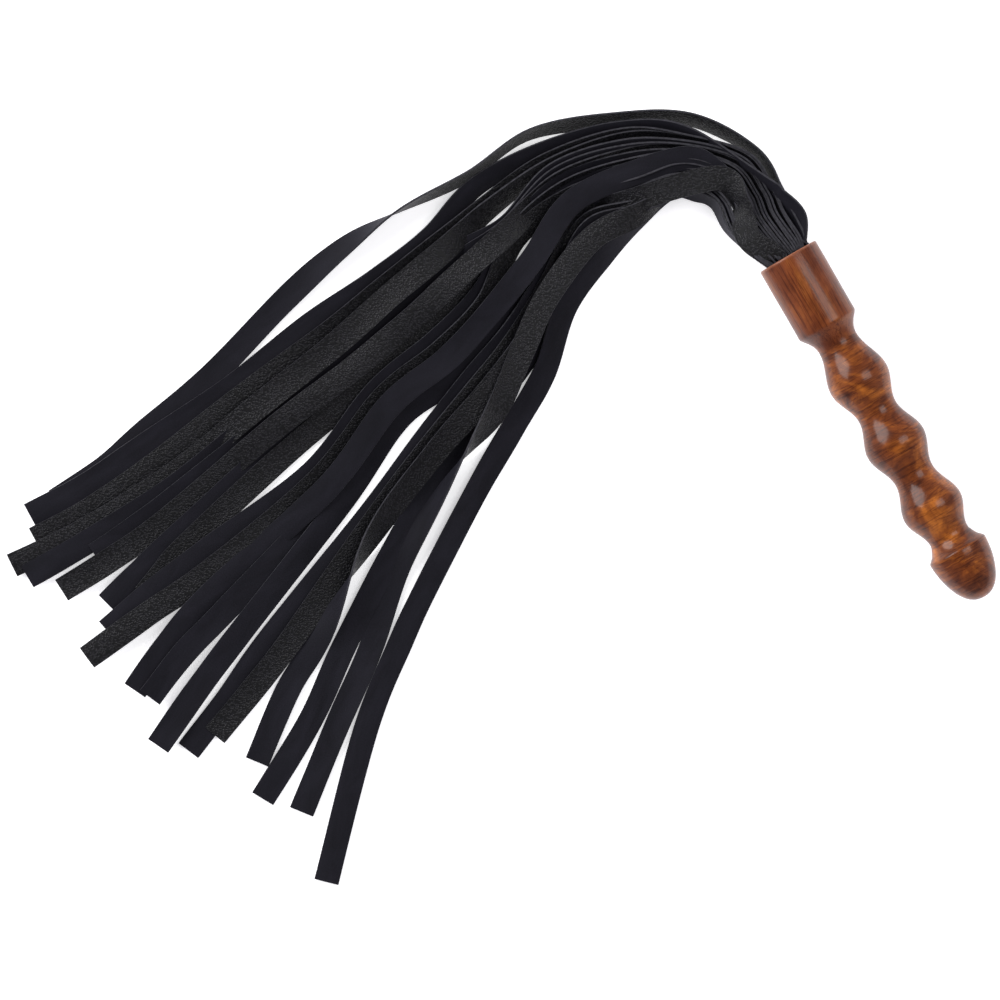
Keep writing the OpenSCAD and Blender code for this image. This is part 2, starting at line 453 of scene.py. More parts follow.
@dataclass(frozen=True)
class LacqueredWood:
    """Turned hardwood under a thick clear lacquer.

    The wood has a broad figure in three tones, clouds, streaks and pores. The
    sizes of its patterns are in features a metre, on each axis.
    """

    name: str
    deep: Colour
    middle: Colour
    bright: Colour
    figure: Point3
    streaks: Point3
    coat_roughness: float = 0.19
    peel_depth: float = 0.00007
    tones_at: Point3 = (0.30, 0.50, 0.72)
    clouds: Point3 = (75.0, 75.0, 75.0)
    cloud: Colour = rgba(0.50, 0.42, 0.36)
    dark_streak: Colour = rgba(0.40, 0.31, 0.27)
    warm_streak: Colour = rgba(1.0, 0.96, 0.9)
    dull_streak: Colour = rgba(0.72, 0.62, 0.55)
    pore: Colour = rgba(0.35, 0.28, 0.25)
    pores_finer: float = 2.6
    rim: Colour = rgba(0.27, 0.105, 0.055)
    rim_width: float = 0.0016
    rim_grain: Point3 = (900.0, 900.0, 900.0)
    roughness: float = 0.30
    cloud_roughness: float = 0.22
    streak_depth: float = 0.00006
    ripples: Point3 = (160.0, 120.0, 160.0)
    ripple_depth: float = 0.00022
    peel_grain: float = 900.0
    coat_weight: float = 0.46
    coat_tint: Colour = rgba(1.0, 0.96, 0.98)
    index: float = 1.45
    specular: float = 0.12

    def worn(self, s: Shade, base: Socket, rim_y: float) -> Socket:
        """Wears the stain off the rim of the mouth, raggedly.

        Args:
            s: The material to paint.
            base: The colour of the wood.
            rim_y: The place of the rim on the handle's axis.

        Returns:
            The socket of the colour.
        """
        where = s.node("ShaderNodeTexCoord")
        parts = s.node("ShaderNodeSeparateXYZ")
        s.link(where.outputs["Object"], parts.inputs["Vector"])
        away = s.math("ABSOLUTE", s.math(
            "SUBTRACT", parts.outputs["Y"], rim_y), 0.0)
        near = s.math("SUBTRACT", 1.0, s.math(
            "DIVIDE", away, self.rim_width), clamp=True)
        grain = s.noise(s.place("Object", self.rim_grain), 1.0)
        ragged = s.math("MULTIPLY", near, s.math(
            "MULTIPLY", grain, 1.5), clamp=True)
        return s.blend("MIX", ragged, base, self.rim)

    def lacquer(self, s: Shade) -> None:
        """Lays the clear coat, with its orange-peel surface.

        Args:
            s: The material to coat.
        """
        s.set(Coat_Weight=self.coat_weight, Coat_IOR=self.index,
              Coat_Roughness=self.coat_roughness, Coat_Tint=self.coat_tint,
              IOR=self.index, Specular_IOR_Level=self.specular)
        grain = tuple(max(v, self.peel_grain) for v in self.streaks)
        peel = s.noise(s.place("Object", grain), 1.0, 3.0)
        s.link(s.bump(peel, self.peel_depth), s.shader.inputs["Coat Normal"])

    def material(self, rim_y: float) -> Material:
        """Makes the finish.

        Args:
            rim_y: The place on the axis of the rim where the lacquer is thin.

        Returns:
            The material.
        """
        s = Shade(self.name)
        tones = zip(self.tones_at, (self.deep, self.middle, self.bright))
        figure = s.noise(s.place("Object", self.figure), 1.0, 5.0, 0.62, 1.4)
        base = s.ramp(figure, *tones)
        cloud = s.noise(s.place("Object", self.clouds), 1.0, 3.0, 0.6)
        base = s.stain(base, 0.7, cloud, (0.36, self.cloud), (0.60, WHITE))
        streak = s.noise(s.place("Object", self.streaks), 1.0, 4.0, 0.66, 0.9)
        base = s.stain(base, 0.75, streak, (0.38, self.dark_streak),
                       (0.50, WHITE), (0.64, self.warm_streak),
                       (0.74, self.dull_streak))
        finer = tuple(v * self.pores_finer for v in self.streaks)
        pores = s.noise(s.place("Object", finer), 1.0, 2.0, 0.5)
        base = s.stain(base, 0.6, pores, (0.30, self.pore), (0.42, WHITE))
        ripple = s.noise(s.place("Object", self.ripples), 1.0, 2.0)
        normal = s.bump(ripple, self.ripple_depth,
                        s.bump(streak, self.streak_depth))
        rough = s.math("ADD", self.roughness, s.math(
            "MULTIPLY", cloud, self.cloud_roughness))
        self.lacquer(s)
        return s.finish(self.worn(s, base, rim_y), rough, normal)


@dataclass(frozen=True)
class GrainLeather:
    """The outer side of the hide, with its pebbled grain, a painted highlight
    on the pebbles' tops and painted shade in the creases between them.
    """

    name: str = "leather_grain"
    # low is painted shade in the creases between the pebbles, high a painted
    # highlight on their tops.
    low: Colour = rgba(0.0018, 0.0018, 0.0026)
    high: Colour = rgba(0.0068, 0.0066, 0.0088)
    pebble: float = 980.0
    steepness: float = 2.6
    warp_size: float = 260.0
    warp: Point3 = (0.0008, 0.0008, 0.0)
    pore_size: float = 1900.0
    worn_size: float = 55.0
    worn_dark: Colour = rgba(0.55, 0.55, 0.58)
    worn_pale: Colour = rgba(1.3, 1.3, 1.3)
    depth: float = 0.00022
    roughness: float = 0.52
    dome_polish: float = 0.14
    specular: float = 0.30
    sheen: float = 0.012
    sheen_tint: Colour = rgba(0.80, 0.78, 1.0)

    def pebbles(self, s: Shade, hide: Socket) -> Socket:
        """Gives a field of uneven domes with creases between them.

        Args:
            s: The material to work in.
            hide: The coordinates on the hide.

        Returns:
            The socket of the height of the domes, from 0 to 1.
        """
        warp = s.node("ShaderNodeTexNoise")
        warp.inputs["Scale"].default_value = self.warp_size
        s.link(hide, warp.inputs["Vector"])
        bent = s.node("ShaderNodeVectorMath", operation="MULTIPLY_ADD")
        s.link(warp.outputs["Color"], bent.inputs[0])
        bent.inputs[1].default_value = self.warp
        s.link(hide, bent.inputs[2])
        cells = s.node("ShaderNodeTexVoronoi", feature="F1")
        cells.inputs["Scale"].default_value = self.pebble
        s.link(bent.outputs[0], cells.inputs["Vector"])
        fall = s.math("POWER", cells.outputs["Distance"], 2.0)
        return s.math("SUBTRACT", 1.0, s.math(
            "MULTIPLY", fall, self.steepness), clamp=True)

    def material(self) -> Material:
        """Makes the finish.

        Returns:
            The material.
        """
        s = Shade(self.name)
        hide = s.place("UV", (1.0, 1.0, 1.0))
        dome = self.pebbles(s, hide)
        height = s.math("ADD", dome, s.math(
            "MULTIPLY", s.noise(hide, self.pore_size, 2.0), 0.10))
        # The colour follows the dome height: painted shade in the creases, a
        # painted highlight on the pebbles' tops.
        colour = s.stain(
            s.ramp(dome, (0.05, self.low), (0.60, self.high)), 0.6,
            s.noise(hide, self.worn_size, 3.0),
            (0.3, self.worn_dark), (0.7, self.worn_pale))
        rough = s.math("SUBTRACT", self.roughness, s.math(
            "MULTIPLY", dome, self.dome_polish))
        s.set(Specular_IOR_Level=self.specular, Sheen_Weight=self.sheen,
              Sheen_Roughness=0.4, Sheen_Tint=self.sheen_tint)
        return s.finish(colour, rough, s.bump(height, self.depth))


@dataclass(frozen=True)
class SuedeLeather:
    """The flesh side of the hide, with a short dull nap."""

    name: str = "leather_suede"
    low: Colour = rgba(0.0034, 0.0033, 0.0048)
    high: Colour = rgba(0.0122, 0.0117, 0.0166)
    nap_size: float = 1500.0
    nap_depth: float = 0.00007
    brushed: Point3 = (1.0, 0.35, 1.0)
    brushed_size: float = 90.0
    brushed_depth: float = 0.00016
    roughness: float = 0.62
    brushed_roughness: float = 0.18
    specular: float = 0.10
    sheen: float = 0.045
    sheen_tint: Colour = rgba(0.78, 0.76, 1.0)

    def material(self) -> Material:
        """Makes the finish.

        Returns:
            The material.
        """
        s = Shade(self.name)
        nap = s.noise(s.place("UV", (1.0, 1.0, 1.0)), self.nap_size, 4.0, 0.7)
        brushed = s.noise(s.place("UV", self.brushed), self.brushed_size,
                          4.0, 0.6, 0.6)
        both = s.math("ADD", s.math("MULTIPLY", nap, 0.5),
                      s.math("MULTIPLY", brushed, 0.5))
        colour = s.ramp(both, (0.30, self.low), (0.70, self.high))
        rough = s.math("ADD", self.roughness, s.math(
            "MULTIPLY", brushed, self.brushed_roughness))
        normal = s.bump(nap, self.nap_depth,
                        s.bump(brushed, self.brushed_depth))
        s.set(Specular_IOR_Level=self.specular, Sheen_Weight=self.sheen,
              Sheen_Roughness=0.5, Sheen_Tint=self.sheen_tint)
        return s.finish(colour, rough, normal)


@dataclass(frozen=True)
class CutEdge:
    """The cut edge of the hide, paler than its faces: partly the grey of its
    cut fibres, partly a painted highlight where the edges catch the light.
    """

    name: str = "leather_edge"
    # dark and pale are the edge's fibre tones. pale is partly a painted
    # highlight where the edges catch the light.
    dark: Colour = rgba(0.0065, 0.0063, 0.0085)
    pale: Colour = rgba(0.040, 0.039, 0.047)
    fibres: Point3 = (1.0, 0.3, 1.0)
    fibre_size: float = 1400.0
    fibre_depth: float = 0.00012
    roughness: float = 0.7
    specular: float = 0.25

    def material(self) -> Material:
        """Makes the finish.

        Returns:
            The material.
        """
        s = Shade(self.name)
        fibre = s.noise(s.place("UV", self.fibres), self.fibre_size, 4.0, 0.7)
        # Paler than the faces: partly the cut fibres' own grey, partly a
        # painted highlight along the edges.
        colour = s.ramp(fibre, (0.3, self.dark), (0.7, self.pale))
        s.set(Specular_IOR_Level=self.specular)
        return s.finish(colour, self.roughness,
                        s.bump(fibre, self.fibre_depth))


# ---- handle


def bare_scene() -> None:
    """Leaves edit mode and deselects everything, before a new piece."""
    if bpy.context.mode != "OBJECT":
        bpy.ops.object.mode_set(mode="OBJECT")
    bpy.ops.object.select_all(action="DESELECT")


def fit(piece: Piece, node: str) -> None:
    """Puts a rigid piece of the handle in its CAD node's stead.

    Args:
        piece: The finished piece.
        node: The CAD node that it replaces.
    """
    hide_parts(node)
    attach(piece, "handle")


@dataclass
class Handle:
    """The turned handle: the socket with its bore, and the beaded grip."""

    mouth_y: float = MOUTH[1]
    axis_z: float = MOUTH[2]
    socket_r: float = SOCKET_RADIUS
    socket_len: float = 0.0406
    bore_r: float = 0.0130
    bore_depth: float = 0.0280
    neck_r: float = 0.0109
    bead_r: float = 0.0163
    tenon_r: float = 0.00595
    tenon_len: float = 0.0170
    length: float = HANDLE_LENGTH
    no_rim: float = -1.0
    necks: Tuple[float, ...] = (0.0515, 0.0925, 0.1305, 0.1665)
    crests: Tuple[float, ...] = (0.0735, 0.1115, 0.1495)
    acorn_crest: float = 0.1755
    acorn_r: float = 0.0161
    acorn_length_power: float = 1.12
    acorn_radius_power: float = 0.86
    closed: float = 0.0004
    facets: int = 128
    crease: float = 38.0
    pale: LacqueredWood = LacqueredWood(
        "lacquer_socket", rgba(0.085, 0.017, 0.005), rgba(0.160, 0.040, 0.009),
        rgba(0.275, 0.090, 0.014), (34.0, 7.0, 34.0), (700.0, 30.0, 700.0))
    dark: LacqueredWood = LacqueredWood(
        "lacquer_grip", rgba(0.050, 0.010, 0.003), rgba(0.160, 0.040, 0.007),
        rgba(0.420, 0.130, 0.015), (38.0, 62.0, 38.0), (46.0, 560.0, 46.0),
        0.16, 0.00004)

    def turned(self, name: str, outline: Sequence[Point2]) -> Piece:
        """Turns a closed shape about the handle's axis.

        Args:
            name: The piece's name.
            outline: Distance from the mouth and radius at each step, from
                the middle of one end to the middle of the other.

        Returns:
            The finished piece.
        """
        bare_scene()
        s, r = outline[0]
        bpy.ops.mesh.primitive_circle_add(
            vertices=self.facets, radius=r, fill_type="NGON",
            location=(0.0, self.mouth_y - s, self.axis_z),
            rotation=(math.pi / 2, 0.0, 0.0))
        piece = bpy.context.object
        piece.name = name
        piece.data.name = name
        bpy.ops.object.mode_set(mode="EDIT")
        bpy.ops.mesh.select_all(action="SELECT")
        for next_s, next_r in outline[1:]:
            bpy.ops.mesh.extrude_region_move(
                TRANSFORM_OT_translate={"value": (0.0, s - next_s, 0.0)})
            factor = next_r / r
            bpy.ops.transform.resize(
                value=(factor, 1.0, factor),
                center_override=(0.0, self.mouth_y - next_s, self.axis_z))
            s, r = next_s, next_r
        bpy.ops.mesh.select_all(action="SELECT")
        bpy.ops.mesh.normals_make_consistent(inside=False)
        bpy.ops.object.mode_set(mode="OBJECT")
        bpy.ops.object.transform_apply(
            location=True, rotation=True, scale=True)
        bpy.ops.object.shade_smooth_by_angle(angle=math.radians(self.crease))
        return piece

    def swell(self, r0: float, r1: float, s0: float, s1: float,
              steps: int = 14) -> List[Point2]:
        """Gives a smooth swell between two radii.

        Args:
            r0: The radius before it.
            r1: The radius after it.
            s0: Where it begins.
            s1: Where it ends.
            steps: The number of points.

        Returns:
            The points after the first.
        """
        return [(mix(s0, s1, j / steps),
                 mix(r0, r1, (1 - math.cos(math.pi * j / steps)) / 2))
                for j in range(1, steps + 1)]

    def socket(self) -> Piece:
        """Makes the cup that the leather is glued into.

        Returns:
            The finished piece.
        """
        wall = [(self.bore_depth, self.closed), (self.bore_depth, self.bore_r),
                (0.0060, self.bore_r), (0.0004, self.bore_r),
                (0.0, self.bore_r + 0.0004), (0.0, self.socket_r - 0.0007),
                (0.00018, self.socket_r - 0.00032),
                (0.0005, self.socket_r - 0.00008), (0.0009, self.socket_r),
                (0.0130, self.socket_r + 0.00003),
                (0.0270, self.socket_r - 0.00004),
                (self.socket_len - 0.0004, self.socket_r)]
        shoulder = [(0.0408, 0.01636), (0.0412, 0.01618), (0.0416, 0.0159),
                    (0.0425, 0.01525), (0.0434, 0.0145), (0.0445, 0.0136),
                    (0.0456, 0.0129), (0.0467, 0.0122), (0.0478, 0.0117),
                    (0.0497, 0.0111), (self.necks[0], self.neck_r),
                    (self.necks[0], self.closed)]
        piece = self.turned("socket_turned", wall + shoulder)
        piece.data.materials.append(self.pale.material(self.mouth_y))
        fit(piece, "socket")
        return piece

    def grip(self) -> Piece:
        """Makes the beaded grip with its acorn butt and tenon.

        Returns:
            The finished piece.
        """
        start = self.necks[0] - self.tenon_len
        line = [(start, self.closed), (start, self.tenon_r - 0.0005),
                (start + 0.0005, self.tenon_r),
                (self.necks[0], self.tenon_r),
                (self.necks[0], self.neck_r)]
        for j, crest in enumerate(self.crests):
            line += self.swell(self.neck_r, self.bead_r, self.necks[j], crest)
            line += self.swell(self.bead_r, self.neck_r, crest,
                               self.necks[j + 1])
        line += [(0.1678, 0.0111), (0.1689, 0.0116), (0.1706, 0.0124),
                 (0.1723, 0.0134), (0.1736, 0.0147), (0.1746, 0.0157),
                 (0.1751, 0.0160), (self.acorn_crest, self.acorn_r)]
        reach = self.length - self.acorn_crest
        for turn in range(4, 89, 4):
            a = math.radians(turn)
            along = math.sin(a) ** self.acorn_length_power
            thick = math.cos(a) ** self.acorn_radius_power
            line.append((self.acorn_crest + reach * along,
                         self.acorn_r * thick))
        line.append((self.length, 0.0003))
        piece = self.turned("grip_turned", line)
        piece.data.materials.append(self.dark.material(self.no_rim))
        fit(piece, "grip")
        return piece


# ---- leather


class Skin:
    """A closed mesh with a UV map, built point by point."""

    def __init__(self) -> None:
        """Starts empty."""
        self.points: List[Vector] = []
        self.faces: List[Tuple[int, ...]] = []
        self.uvs: List[Tuple[Point2, ...]] = []
        self.slots: List[int] = []

    def face(self, corners: Sequence[int], uv: Sequence[Point2],
             slot: int) -> None:
        """Adds one face.

        Args:
            corners: The numbers of its points.
            uv: The place of each corner on the hide, in metres.
            slot: The number of its material.
        """
        self.faces.append(tuple(corners))
        self.uvs.append(tuple(uv))
        self.slots.append(slot)

    def piece(self, name: str, materials: Sequence[Material]) -> Piece:
        """Makes the object.

        Args:
            name: The piece's name.
            materials: Its materials, in the order of the slots.

        Returns:
            The new object.
        """
        mesh = bpy.data.meshes.new(name)
        mesh.from_pydata([tuple(p) for p in self.points], [], self.faces)
        layer = mesh.uv_layers.new(name="UVMap")
        layer.data.foreach_set("uv", [
            value for face in self.uvs for corner in face for value in corner])
        for material in materials:
            mesh.materials.append(material)
        mesh.polygons.foreach_set("material_index", self.slots)
        mesh.update()
        made = bpy.data.objects.new(name, mesh)
        bpy.context.scene.collection.objects.link(made)
        bare_scene()
        made.select_set(True)
        bpy.context.view_layer.objects.active = made
        bpy.ops.object.shade_smooth_by_angle(angle=math.radians(40))
        return made


@dataclass(frozen=True)
class Leather:
    """The three finishes of one hide."""

    grain: Material
    suede: Material
    edge: Material

    def faces(self, up: Face) -> List[Material]:
        """Gives the finishes in the order of the slots.

        Args:
            up: The side that looks up where the tail lies flat.

        Returns:
            The upper, the lower and the cut-edge finish.
        """
        sides = [self.grain, self.suede]
        if up is Face.SUEDE:
            sides.reverse()
        return sides + [self.edge]


@dataclass
class RootRoll:
    """The uncut end of the hide, rolled up inside the socket."""

    mouth_y: float = MOUTH[1]
    axis_z: float = MOUTH[2]
    inner_r: float = 0.0012
    outer_r: float = 0.0122
    near: float = 0.0010
    far: float = 0.0279
    turns: float = 8.5
    thickness: float = 0.00105
    packed: float = 0.95
    sway: float = 0.00035
    edge_width: float = 0.001
    end_length: float = 0.027
    steps: int = 40

    def build(self, leather: Leather) -> Piece:
        """Makes the roll.

        Args:
            leather: The finishes.

        Returns:
            The finished piece.
        """
        skin = Skin()
        total = int(self.turns * self.steps)
        run = 0.0
        for j in range(total + 1):
            angle = 2 * math.pi * j / self.steps
            radius = mix(self.inner_r, self.outer_r, j / total)
            wave = self.sway * math.sin(angle * 1.7)
            for side in (0.0, self.thickness * self.packed):
                for s in (self.near + wave + self.sway, self.far):
                    skin.points.append(Vector((
                        (radius + side) * math.cos(angle), self.mouth_y - s,
                        self.axis_z + (radius + side) * math.sin(angle))))
            if j:
                step = radius * 2 * math.pi / self.steps
                a, b = 4 * (j - 1), 4 * j
                u0, u1 = run, run + step
                w = self.far - self.near
                skin.face((a, b, b + 1, a + 1),
                          ((u0, 0), (u1, 0), (u1, w), (u0, w)), LOWER)
                skin.face((a + 2, a + 3, b + 3, b + 2),
                          ((u0, 0), (u0, w), (u1, w), (u1, 0)), UPPER)
                t = self.edge_width
                skin.face((a, a + 2, b + 2, b),
                          ((u0, 0), (u0, t), (u1, t), (u1, 0)), EDGE)
                skin.face((a + 1, b + 1, b + 3, a + 3),
                          ((u0, 0), (u1, 0), (u1, t), (u0, t)), EDGE)
                run = u1
        t, w = self.edge_width, self.end_length
        flat = ((0, 0), (t, 0), (t, w), (0, w))
        last = 4 * total
        skin.face((0, 1, 3, 2), flat, EDGE)
        skin.face((last, last + 2, last + 3, last + 1), flat, EDGE)
        piece = skin.piece("root_rolled", leather.faces(Face.GRAIN))
        fit(piece, "root_roll")
        return piece


@dataclass
class Tails:
    """The twenty flat tails, cut in one hide and fanned out."""

    mouth: Point3 = MOUTH
    width: float = 0.0127
    thickness: float = 0.0011
    gap: float = 0.00025
    start_pitch: float = 0.00135
    bore_pitch: float = 0.00112
    start_rise: float = 0.0012
    start_angle: float = 26.0
    inside: float = 0.0100
    hang: Tuple[float, ...] = (0.0164, 0.0125, 0.0080)
    dense: Tuple[int, ...] = (1, 2, 3, 4, 5)
    most_rise: float = 0.0026
    most_lean: float = 7.0
    rounding: float = 0.0006
    wave_from: float = 4.5
    flat_from: float = 10.5
    upright: int = 4
    settled: int = 12
    clear: float = 0.001
    rings: int = 12
    columns: int = 9
    cup: float = 0.00055
    seed: int = 20
    nudge: float = 0.05
    edge_swell: float = 0.00012
    face_share: float = 0.94
    sheet_shift: float = 0.031
    up: Tuple[Face, ...] = field(default_factory=lambda: tuple(
        Face.GRAIN if mark == "G" else Face.SUEDE
        for mark in "SGSGGSSSSGSGSGSSGGSG"))

    def __post_init__(self) -> None:
        """Works out the routes and how high each tail lies."""
        self.count = len(self.up)
        self.routes = [self.route(i) for i in range(self.count)]
        self.lifts = self.all_lifts()
        self.chance = random.Random(self.seed)
        self.ways = [self.way(i) for i in range(self.count)]
        self.waves = [
            (self.chance.uniform(2.0, 4.5), self.chance.uniform(0.8, 1.5),
             self.chance.uniform(0.0, 6.28), self.chance.uniform(0.0, 6.28))
            for _ in range(self.count)]

    def route(self, i: int) -> List[Point2]:
        """Gives the points of a tail's route, seen from above.

        Args:
            i: The tail's number, from the inside of the bend outwards.

        Returns:
            The points in order from the mouth.
        """
        x = (i - (self.count - 1) / 2) * self.start_pitch
        y = self.mouth[1] + self.start_rise + math.tan(
            math.radians(self.start_angle)) * abs(x)
        points = [(x, y)]
        for gate, (first, second, late, last) in enumerate(GATES):
            if gate in CLUMPS:
                t = between(CLUMPS[gate], i) / math.dist(first, last)
                points.append((mix(first[0], last[0], t),
                               mix(first[1], last[1], t)))
            elif i == 0:
                points.append(first)
            elif i == self.count - 1:
                points.append(last)
            else:
                t = (i - 1) / (self.count - 3)
                points.append((mix(second[0], late[0], t),
                               mix(second[1], late[1], t)))
        return points + list(ENDS[i])

    def roll(self, i: int, k: int) -> float:
        """Gives the roll of tail i at point k, in degrees."""
        return ROLLS_LAST[k] if i == self.count - 1 else ROLLS[k]

    def step_up(self, i: int, k: int) -> float:
        """Gives how much higher tail i lies than the next outer one.

        Args:
            i: The tail's number.
            k: The point on its route.

        Returns:
            The step in height, below zero where the tails are clear.
        """
        route = self.routes[i]
        a, b = route[max(k - 1, 0)], route[min(k + 1, len(ROLLS) - 1)]
        length = math.hypot(b[0] - a[0], b[1] - a[1])
        out = self.routes[i + 1][k]
        pitch = abs((out[0] - route[k][0]) * (b[1] - a[1])
                    - (out[1] - route[k][1]) * (b[0] - a[0])) / length
        r = math.radians(ROLLS[k])
        if k < self.upright or pitch > self.width * math.cos(r) + self.clear:
            return -self.width
        return (self.thickness + self.gap) / math.cos(r) - pitch * math.tan(r)

    def all_lifts(self) -> List[List[float]]:
        """Works out how far each tail is lifted over the outer ones.

        Returns:
            The lift of every tail at every point of its route.
        """
        points = len(ROLLS)
        lifts = [[0.0] * points for _ in range(self.count)]
        for k in range(points):
            for i in range(self.count - 2, -1, -1):
                looks = ((k,) if k < self.settled
                         else tuple(range(self.settled, points)))
                step = max(self.step_up(i, j) for j in looks)
                lifts[i][k] = max(0.0, lifts[i + 1][k] + step)
        return lifts

    def way(self, i: int) -> List[List[float]]:
        """Gives the place, lift, roll and height along a tail.

        Args:
            i: The tail's number.

        Returns:
            One list for each point, the first of them in the bore.
        """
        steps = []
        for k, (x, y) in enumerate(self.routes[i]):
            lie = self.hang[k] if k < len(self.hang) else 0.0
            steps.append([x, y, self.lifts[i][k], float(self.roll(i, k)), lie])
        rise = self.chance.uniform(0.0, self.most_rise)
        lean = self.chance.uniform(-self.most_lean, self.most_lean)
        if 0 < i < self.count - 1:
            for k in self.dense:
                steps[k][LIFT] += rise
                steps[k][ROLL] += lean
        for k, place in MOVED.get(i, {}).items():
            steps[k][PLACE_X], steps[k][PLACE_Y] = place
        for k, lie in LYING.get(i, {}).items():
            steps[k][ROLL], steps[k][HEIGHT] = lie
        x = (i - (self.count - 1) / 2) * self.bore_pitch
        deep = [x, self.mouth[1] - self.inside, 0.0, 90.0, self.mouth[2]]
        rim = [x * 1.04, self.mouth[1] - self.clear, 0.0,
               mix(steps[0][ROLL], 90.0, 0.45),
               mix(steps[0][HEIGHT], self.mouth[2], 0.5)]
        return [deep, rim] + steps

    def at(self, i: int, u: float) -> Tuple[Vector, float]:
        """Gives the middle and the roll of a tail.

        Args:
            i: The tail's number.
            u: How far along, in points of its route.

        Returns:
            The middle of the section and its roll in radians.
        """
        steps = self.ways[i]
        last = len(steps) - 1
        k = min(last - 1, int(u))
        near = [steps[max(0, min(last, j))] for j in (k - 1, k, k + 1, k + 2)]
        if k == 0:
            near[0] = list(steps[0])
            near[0][PLACE_Y] = 2 * steps[0][PLACE_Y] - steps[1][PLACE_Y]
        x, y, lift, roll, lie = (smooth(*four, u - k) for four in zip(*near))
        wave = min(1.0, max(0.0, (u - self.wave_from) / 2.0))
        flat = min(1.0, max(0.0, (u - self.flat_from) / 3.0))
        a, b, c, d = self.waves[i]
        roll += wave * mix(2.6, 0.9, flat) * (
            a * math.sin(u * b + c) + 0.5 * a * math.sin(u * 2.3 * b + d))
        angle = math.radians(roll)
        rest = (abs(math.sin(angle)) * self.width / 2
                + abs(math.cos(angle)) * self.thickness / 2 + max(0.0, lift))
        high = (rest + lie + math.sqrt(
            (rest - lie) ** 2 + self.rounding ** 2)) / 2
        return Vector((x, y, high + self.cup / 2)), angle

    def section(self, i: int, u: float, cup_way: float,
                spots: Sequence[float]) -> Tuple[Vector, List[Vector]]:
        """Gives the section of a tail at one place.

        Args:
            i: The tail's number.
            u: How far along, in points of its route.
            cup_way: The side that the tail cups to, -1 or 1.
            spots: The places of the points across, from -1 to 1.

        Returns:
            The middle of the section and the points round it.
        """
        half_w, half_t = self.width / 2, self.thickness / 2
        last = len(self.ways[i]) - 1
        mid, roll = self.at(i, u)
        ahead = (self.at(i, min(last, u + self.nudge))[0]
                 - self.at(i, max(0.0, u - self.nudge))[0])
        ahead.z = 0.0
        ahead.normalize()
        out = Vector((ahead.y, -ahead.x, 0.0))
        up = Vector((0.0, 0.0, 1.0))
        across = out * math.cos(roll) + up * math.sin(roll)
        through = up * math.cos(roll) - out * math.sin(roll)
        bend = self.cup * cup_way * math.sin(u * 0.9 + i) * min(
            1.0, max(0.0, u - 3.0) / 4)
        nick = 1.0 + 0.012 * math.sin(u * 5.1 + i * 1.9) * min(1.0, u / 4)
        points = []
        for side, order in ((1, spots), (-1, spots[::-1])):
            for q in order:
                sag = bend * (1 - q * q) - bend / 2
                points.append(
                    mid + across * q * half_w * nick
                    + through * (side * half_t * self.face_share + sag))
            points.append(
                mid + across * order[-1] * (half_w * nick + self.edge_swell)
                - through * bend / 2)
        return mid, points

    def skin(self, i: int) -> Tuple[Skin, List[Vector], float]:
        """Draws the mesh of one tail.

        Args:
            i: The tail's number.

        Returns:
            The mesh, the middles of its sections and its length.
        """
        skin = Skin()
        half_w = self.width / 2
        shift = self.sheet_shift * i
        cup_way = self.chance.choice((-1.0, 1.0))
        spots = [-1 + 2 * c / (self.columns - 1) for c in range(self.columns)]
        rim = [(0.0, 0.1, EDGE)] * 2
        strips = ([(p, q, UPPER) for p, q in zip(spots, spots[1:])] + rim
                  + [(p, q, LOWER) for p, q in zip(spots[::-1], spots[-2::-1])]
                  + rim)
        around = len(strips)
        total = (len(self.ways[i]) - 1) * self.rings
        middles: List[Vector] = []
        run = 0.0
        for j in range(total + 1):
            mid, points = self.section(i, j / self.rings, cup_way, spots)
            skin.points += points
            middles.append(mid)
            if not j:
                continue
            before = run
            run += (mid - middles[-2]).length
            a, b = (j - 1) * around, j * around
            for c, (p, q, slot) in enumerate(strips):
                d = (c + 1) % around
                x0, x1 = shift + p * half_w, shift + q * half_w
                skin.face((a + c, b + c, b + d, a + d),
                          ((x0, before), (x0, run), (x1, run), (x1, before)),
                          slot)
        flat = [(shift + q * half_w, 0.0) for q in spots]
        ring = flat + [(shift, 0.0)] + flat[::-1] + [(shift, 0.0)]
        near, far = range(around), range(total * around, (total + 1) * around)
        skin.face(near, ring, EDGE)
        skin.face(far[::-1], ring[::-1], EDGE)
        return skin, middles, run

    def build(self, i: int, leather: Leather) -> Piece:
        """Makes one tail.

        Args:
            i: The tail's number, from the inside of the bend outwards.
            leather: The finishes.

        Returns:
            The finished piece.
        """
        skin, middles, run = self.skin(i)
        name = "tail_%02d" % (i + 1)
        piece = skin.piece("strap_%02d" % (i + 1), leather.faces(self.up[i]))
        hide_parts(name)
        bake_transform(piece)
        LOG.info("%s: %d mm long", piece.name, round(run * 1000))
        return piece


# ---- studio


@dataclass(frozen=True)
class Lamp:
    """A soft rectangular light."""

    name: str
    place: Point3
    size: Point2
    watts: float

    def light(self, aim: Point3) -> None:
        """Adds the light.

        Args:
            aim: The point that it looks at.
        """
        lamp = bpy.data.lights.new(self.name, "AREA")
        lamp.shape = "RECTANGLE"
        lamp.size, lamp.size_y = self.size
        lamp.energy = self.watts
        made = bpy.data.objects.new(self.name, lamp)
        made.location = self.place
        way = Vector(aim) - Vector(self.place)
        made.rotation_euler = way.to_track_quat("-Z", "Y").to_euler()
        bpy.context.scene.collection.objects.link(made)


